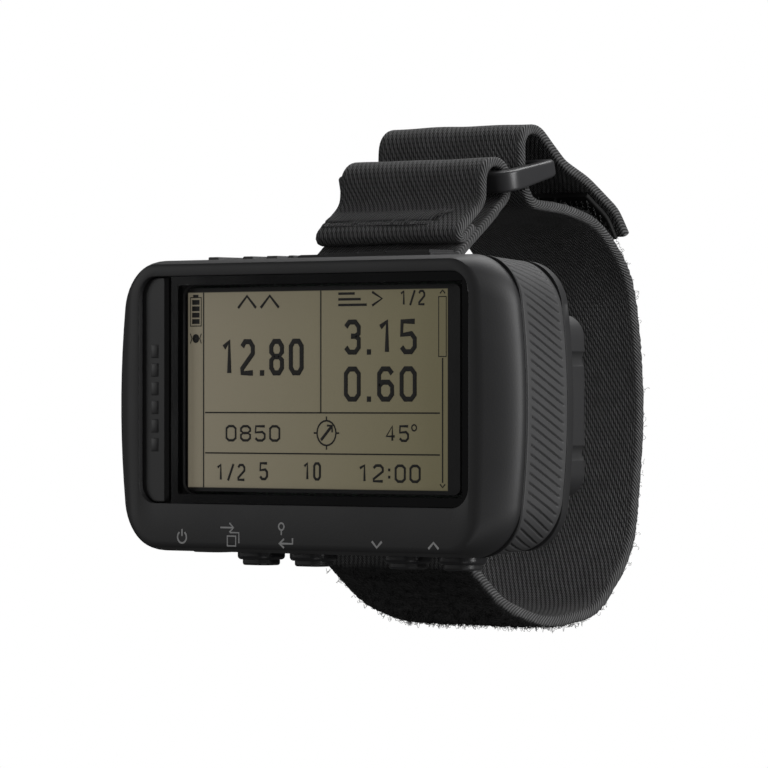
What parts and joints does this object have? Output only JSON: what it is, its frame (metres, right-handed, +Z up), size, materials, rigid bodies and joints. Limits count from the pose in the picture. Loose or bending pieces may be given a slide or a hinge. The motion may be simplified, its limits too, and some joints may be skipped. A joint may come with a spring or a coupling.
{
  "type": "wrist-worn aviation gps receiver",
  "caption": "Rugged wrist-worn navigation receiver with a wide window, side-grip band, edge keys, battery cover and a hook-and-loop strap.",
  "frame": {"origin": "on the forearm axis, in the middle of the strap loop, level with the case's mid height", "axes": "+X along the case to the reader's right and along the forearm, +Y from the display to the wrist, +Z up across the display"},
  "size_m": [0.0744, 0.0637, 0.0733],
  "materials": {
    "case_black": "fine spark texture, near black",
    "rear_black": "fine spark texture, near black",
    "grip_grey": "satin overmould, dark grey",
    "strip_black": "satin black",
    "window_glass": "clear window with a black border",
    "gasket_black": "matt adhesive gasket",
    "lcd": "olive reflective liquid crystal",
    "light_guide": "white light guide",
    "board_green": "solder mask",
    "tin_steel": "tinned steel",
    "ceramic": "ceramic patch",
    "switch_black": "moulded",
    "seal_grey": "silicone",
    "screw_steel": "black oxide",
    "brass": "knurled insert",
    "cap_rubber": "matt rubber",
    "key_rubber": "satin rubber key",
    "collar_black": "satin black collar",
    "cell_wrap": "plain printed sleeve",
    "spring_steel": "nickel plated",
    "foam": "closed-cell foam",
    "d_steel": "stainless wire",
    "latch_black": "glass-filled nylon",
    "membrane": "porous membrane",
    "strap_weave": "woven elastic, loop pile outside",
    "strap_hook": "hook tape",
    "ring_plastic": "moulded acetal"
  },
  "bodies": {
    "receiver": {"front_case": "case_black", "side_strip": "strip_black", "window_lens": "window_glass", "window_gasket": "gasket_black", "display_module": "lcd", "backlight_plate": "light_guide", "main_board": "board_green", "shield_can": "tin_steel", "gps_antenna": "ceramic", "buzzer": "switch_black", "rear_case": "rear_black", "grip_band": "grip_grey", "case_gasket": "seal_grey", "case_screws": "screw_steel", "latch_insert": "brass", "baro_vent": "membrane", "usb_socket": "tin_steel", "button_collars": "collar_black", "button_seals": "seal_grey", "button_switches": "switch_black", "battery_upper": "cell_wrap", "battery_lower": "cell_wrap", "battery_contacts": "spring_steel", "battery_springs": "spring_steel", "strap_band": "strap_weave", "strap_fold": "strap_weave", "strap_hem": "strap_weave"},
    "power_key": {"power_button": "key_rubber"},
    "page_key": {"page_button": "key_rubber"},
    "enter_key": {"enter_button": "key_rubber"},
    "down_key": {"down_button": "key_rubber"},
    "up_key": {"up_button": "key_rubber"},
    "cover": {"battery_cover": "rear_black", "cover_seal": "seal_grey", "cover_foam": "foam"},
    "latch": {"latch_screw": "latch_black"},
    "d_ring": {"d_ring": "d_steel"},
    "socket_cap": {"usb_cap": "cap_rubber"},
    "ring": {"buckle_ring": "ring_plastic", "strap_wrap": "strap_weave"},
    "loose_end": {"strap_tab": "strap_weave", "hook_patch": "strap_hook"}
  },
  "joints": [
    {"name": "power_press", "type": "slide", "parent": "receiver", "child": "power_key", "axis": [0, 0, 1], "range_m": [0, 0.0005], "stiffness_N_per_m": 3000, "springref_m": -0.0003},
    {"name": "page_press", "type": "slide", "parent": "receiver", "child": "page_key", "axis": [0, 0, 1], "range_m": [0, 0.0005], "stiffness_N_per_m": 3000, "springref_m": -0.0003},
    {"name": "enter_press", "type": "slide", "parent": "receiver", "child": "enter_key", "axis": [0, 0, 1], "range_m": [0, 0.0005], "stiffness_N_per_m": 3000, "springref_m": -0.0003},
    {"name": "down_press", "type": "slide", "parent": "receiver", "child": "down_key", "axis": [0, 0, 1], "range_m": [0, 0.0005], "stiffness_N_per_m": 3000, "springref_m": -0.0003},
    {"name": "up_press", "type": "slide", "parent": "receiver", "child": "up_key", "axis": [0, 0, 1], "range_m": [0, 0.0005], "stiffness_N_per_m": 3000, "springref_m": -0.0003},
    {"name": "cover_lift", "type": "slide", "parent": "receiver", "child": "cover", "axis": [0, 1, 0], "range_m": [0, 0.0012]},
    {"name": "latch_turn", "type": "hinge", "parent": "cover", "child": "latch", "pos_m": [0.0266, -0.023, 0], "axis": [0, 1, 0], "range_deg": [0, 90]},
    {"name": "d_ring_fold", "type": "hinge", "parent": "latch", "child": "d_ring", "pos_m": [0.0266, -0.0211, 0], "axis": [0, 0, 1], "range_deg": [0, 95]},
    {"name": "cap_open", "type": "hinge", "parent": "receiver", "child": "socket_cap", "pos_m": [-0.00415, -0.0341, 0.02045], "axis": [0, -1, 0], "range_deg": [0, 100]},
    {"name": "ring_swing", "type": "hinge", "parent": "receiver", "child": "ring", "pos_m": [0, -0.0146, 0.0322], "axis": [1, 0, 0], "range_deg": [0, 8]},
    {"name": "tab_peel", "type": "hinge", "parent": "ring", "child": "loose_end", "pos_m": [0, -0.00125, 0.03715], "axis": [1, 0, 0], "range_deg": [0, 60]}
  ]
}
